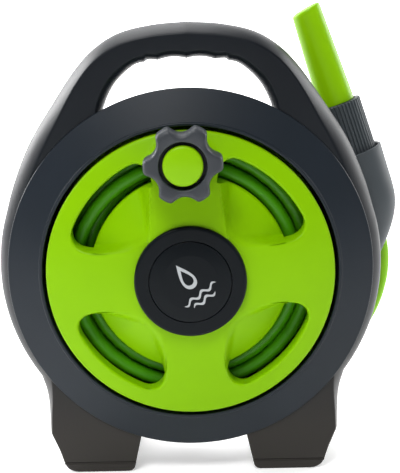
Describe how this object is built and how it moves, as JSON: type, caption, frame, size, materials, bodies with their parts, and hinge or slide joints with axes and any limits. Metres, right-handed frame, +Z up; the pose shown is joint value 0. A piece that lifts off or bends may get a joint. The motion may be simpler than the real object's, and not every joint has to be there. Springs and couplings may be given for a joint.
{
  "type": "garden hose reel",
  "caption": "Hand-carried garden hose reel: arched frame with grip and feet, crank-turned drum with wound hose, and a spray nozzle in a side holster",
  "frame": {"origin": "on the floor, under the middle of the bounding box", "axes": "+Z up, +Y to the back along the drum axis, +X to the right seen from the front; the crank faces -Y"},
  "size_m": [0.3133, 0.1644, 0.3612],
  "materials": {
    "charcoal": "moulded, fine satin grain",
    "steel": "zinc plated",
    "acetal": "moulded, smooth",
    "rubber": "smooth",
    "lime": "moulded, semi-gloss",
    "hose": "smooth PVC"
  },
  "bodies": {
    "frame": {"front_bezel": "charcoal", "front_shell": "charcoal", "rear_shell": "charcoal", "foot_pad_left": "charcoal", "foot_pad_right": "charcoal", "inlet_elbow": "charcoal", "inlet_connector": "charcoal", "nozzle_holster": "charcoal", "shell_screw_1": "steel", "shell_screw_2": "steel", "shell_screw_3": "steel", "shell_screw_4": "steel", "shell_screw_5": "steel", "shell_screw_6": "steel", "shell_screw_7": "steel", "shell_screw_8": "steel", "axle_washer": "steel", "axle_screw": "steel", "elbow_screw_1": "steel", "elbow_screw_2": "steel", "holster_screw_1": "steel", "holster_screw_2": "steel", "water_axle": "acetal", "axle_seal_front": "rubber", "axle_seal_rear": "rubber", "inlet_washer": "rubber", "hose_lead": "hose"},
    "drum": {"drum_front_flange": "lime", "drum_barrel": "charcoal", "drum_rear_flange": "lime", "front_bush": "acetal", "rear_bush": "acetal", "drum_screw_1": "steel", "drum_screw_2": "steel", "drum_screw_3": "steel", "drum_screw_4": "steel", "hub_ring": "charcoal", "hub_cap": "charcoal", "swivel_sleeve": "acetal", "hose_clamp": "steel", "crank_post": "charcoal", "knob_washer": "steel", "knob_screw": "steel", "knob_cap": "lime", "hose_tail": "hose", "hose_winding": "hose"},
    "knob": {"crank_knob": "charcoal"},
    "nozzle": {"nozzle_barrel": "lime", "spray_face": "lime", "nozzle_stem": "charcoal", "stem_seal": "rubber", "hose_nut": "charcoal"},
    "collar": {"nozzle_collar": "charcoal"}
  },
  "joints": [
    {"name": "drum_spin", "type": "hinge", "parent": "frame", "child": "drum", "pos_m": [-0.0087, 0.0002, 0.1625], "axis": [0, 1, 0], "continuous": true},
    {"name": "knob_spin", "type": "hinge", "parent": "drum", "child": "knob", "pos_m": [-0.01215, -0.0658, 0.25243], "axis": [0, 1, 0], "continuous": true},
    {"name": "nozzle_slide", "type": "slide", "parent": "frame", "child": "nozzle", "axis": [-0.3173, 0, 0.9483], "range_m": [0, 0.06], "deforming": ["hose_lead"]},
    {"name": "collar_twist", "type": "hinge", "parent": "nozzle", "child": "collar", "pos_m": [0.10924, 0.0462, 0.28159], "axis": [-0.3173, 0, 0.9483], "range_deg": [0, 180]}
  ]
}
